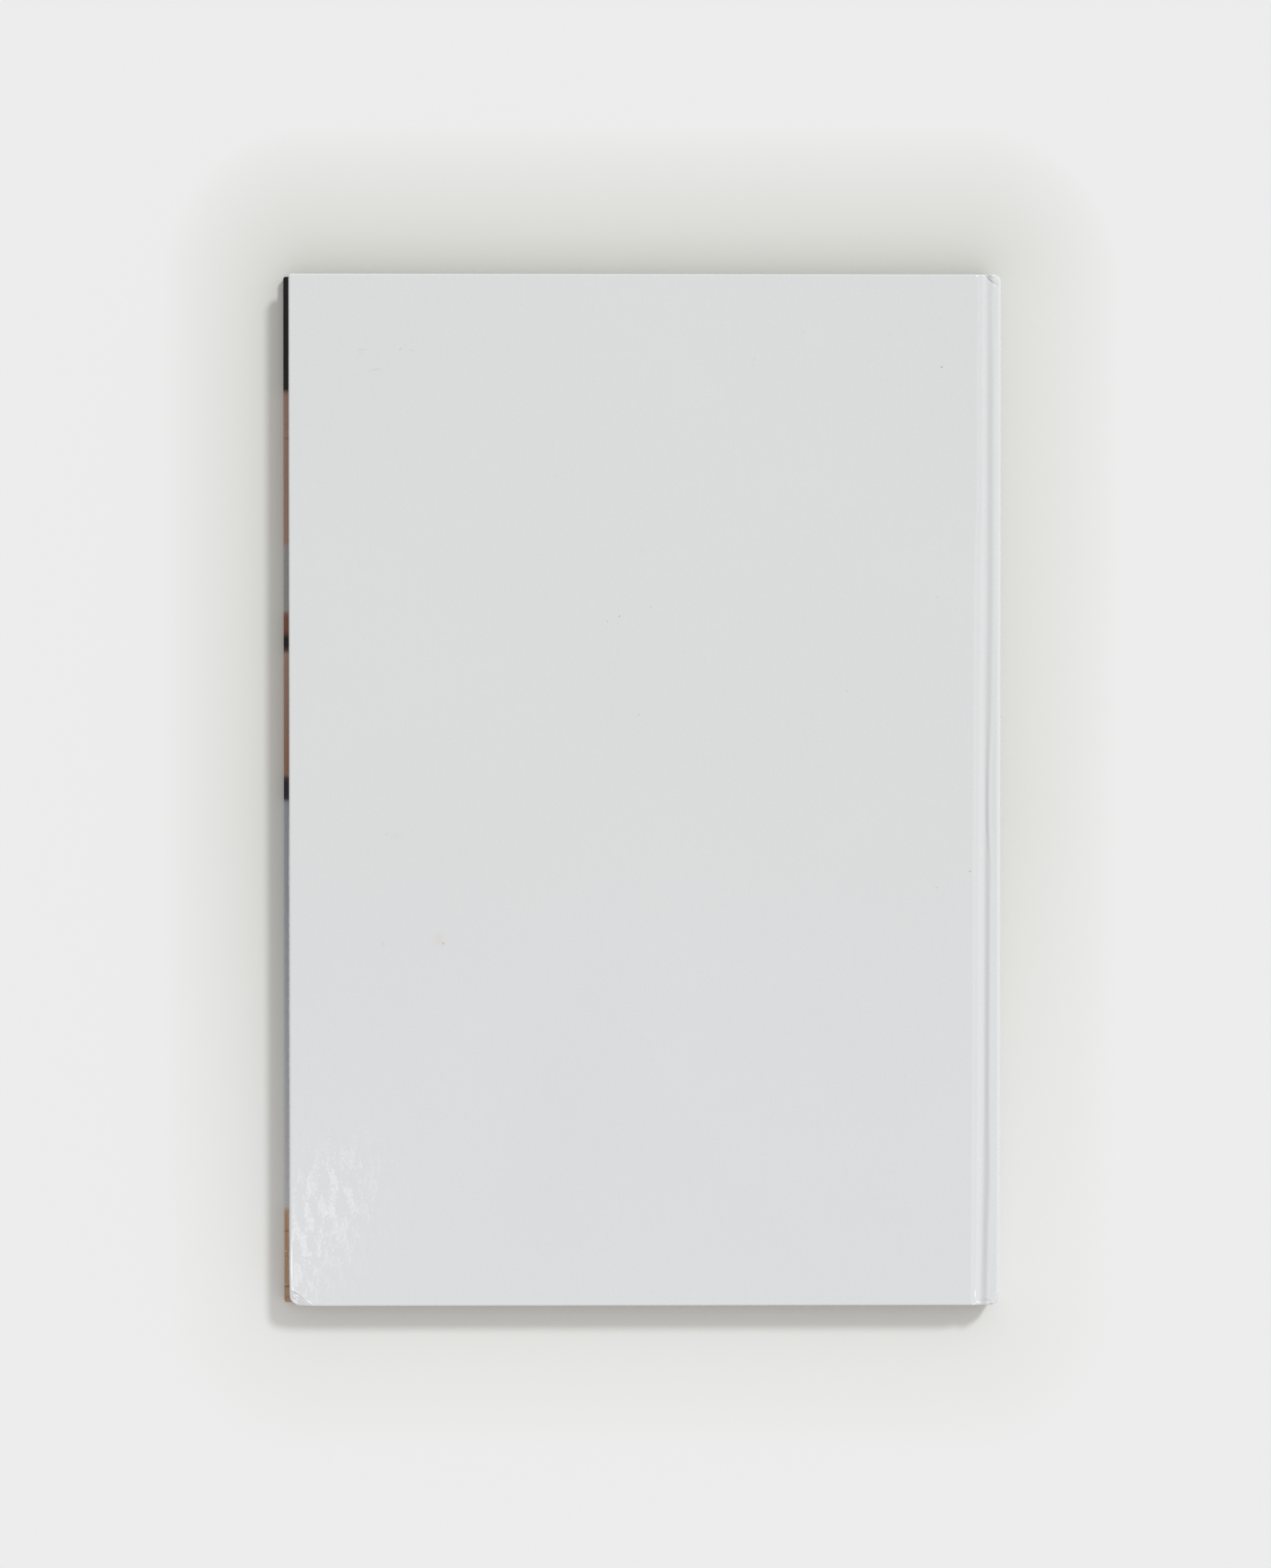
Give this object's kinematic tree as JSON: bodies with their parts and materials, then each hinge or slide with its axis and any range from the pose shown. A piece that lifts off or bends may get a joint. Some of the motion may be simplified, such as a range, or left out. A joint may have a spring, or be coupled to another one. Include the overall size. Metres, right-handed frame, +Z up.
{
  "type": "hardback book",
  "caption": "Thin case-bound picture book with laminated covers, lying on its front cover. Both covers open on pressed joints beside a flat spine.",
  "frame": {"origin": "under the middle of the book's box, on the surface that the book lies on", "axes": "+X towards the spine, +Y towards the head of the pages, +Z up, from the front cover to the back cover"},
  "size_m": [0.2112, 0.303, 0.011],
  "materials": {
    "white_laminate": "gloss",
    "printed_laminate": "gloss",
    "greyboard": "matte",
    "endpaper": "matte",
    "leaves": "matte",
    "gauze": "matte"
  },
  "bodies": {
    "text_block": {"page_block": "leaves", "back_endpaper": "endpaper", "front_endpaper": "endpaper", "spine_gauze": "gauze", "spine_strip": "greyboard", "spine_covering": "white_laminate"},
    "back_cover": {"back_board": "greyboard", "back_covering": "white_laminate", "back_gauze_flap": "gauze", "back_pastedown": "endpaper"},
    "front_cover": {"front_board": "greyboard", "front_covering": "printed_laminate", "front_gauze_flap": "gauze", "front_pastedown": "endpaper"}
  },
  "joints": [
    {"name": "back_cover_hinge", "type": "hinge", "parent": "text_block", "child": "back_cover", "pos_m": [0.10205, 0, 0.00941], "axis": [0, 1, 0], "range_deg": [0, 179.9], "deforming": ["spine_covering", "spine_gauze", "back_endpaper"]},
    {"name": "front_cover_hinge", "type": "hinge", "parent": "text_block", "child": "front_cover", "pos_m": [0.1004, 0, 0.00159], "axis": [0, -1, 0], "range_deg": [0, 179.9], "deforming": ["spine_covering", "spine_gauze", "front_endpaper"]}
  ]
}
